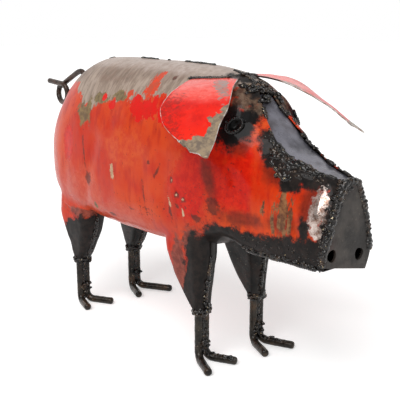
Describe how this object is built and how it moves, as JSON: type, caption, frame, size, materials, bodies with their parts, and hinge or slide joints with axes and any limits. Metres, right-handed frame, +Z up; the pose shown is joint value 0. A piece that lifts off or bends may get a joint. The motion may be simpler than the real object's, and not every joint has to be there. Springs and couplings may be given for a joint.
{
  "type": "pig figurine",
  "caption": "Standing pig figurine welded from worn red drum sheet, with round-bar legs and toes, drooping sheet ears, a flat snout plate and a curled rod tail.",
  "frame": {"origin": "middle of the bounding box in plan, on the floor under the toes", "axes": "+X forward to the snout, +Y to the left side of the pig, +Z up"},
  "size_m": [0.3792, 0.1604, 0.225],
  "materials": {
    "painted_shell": "worn red drum paint with burnt and bare patches, clear lacquer",
    "painted_ear": "worn red drum paint with bare tips, clear lacquer",
    "burnt_panel": "burnt black sheet steel, lacquered",
    "bare_plate": "blue-grey bare sheet steel, lacquered",
    "snout_plate": "dark satin sheet steel",
    "leg_bar": "dark round bar, lacquered",
    "tail_rod": "dark brown rod, lacquered",
    "weld_metal": "black rippled weld metal, glossy"
  },
  "bodies": {
    "root": {"belly_weld": "weld_metal", "chin_plate": "burnt_panel", "forehead_plate": "bare_plate", "forehead_welds": "weld_metal", "left_body_shell": "painted_shell", "left_ear": "painted_ear", "left_ear_weld": "weld_metal", "left_eye_ring": "weld_metal", "left_front_ankle_weld": "weld_metal", "left_front_inner_bar": "leg_bar", "left_front_knee_weld": "weld_metal", "left_front_leg_panel": "burnt_panel", "left_front_outer_bar": "leg_bar", "left_front_seam_weld": "weld_metal", "left_jaw_weld": "weld_metal", "left_rear_ankle_weld": "weld_metal", "left_rear_inner_bar": "leg_bar", "left_rear_knee_weld": "weld_metal", "left_rear_leg_panel": "burnt_panel", "left_rear_outer_bar": "leg_bar", "left_rear_seam_weld": "weld_metal", "right_body_shell": "painted_shell", "right_ear": "painted_ear", "right_ear_weld": "weld_metal", "right_eye_ring": "weld_metal", "right_front_ankle_weld": "weld_metal", "right_front_inner_bar": "leg_bar", "right_front_knee_weld": "weld_metal", "right_front_leg_panel": "burnt_panel", "right_front_outer_bar": "leg_bar", "right_front_seam_weld": "weld_metal", "right_jaw_weld": "weld_metal", "right_rear_ankle_weld": "weld_metal", "right_rear_inner_bar": "leg_bar", "right_rear_knee_weld": "weld_metal", "right_rear_leg_panel": "burnt_panel", "right_rear_outer_bar": "leg_bar", "right_rear_seam_weld": "weld_metal", "snout_plate": "snout_plate", "snout_weld": "weld_metal", "spine_weld": "weld_metal", "tail_rod": "tail_rod", "tail_weld": "weld_metal"}
  },
  "joints": []
}
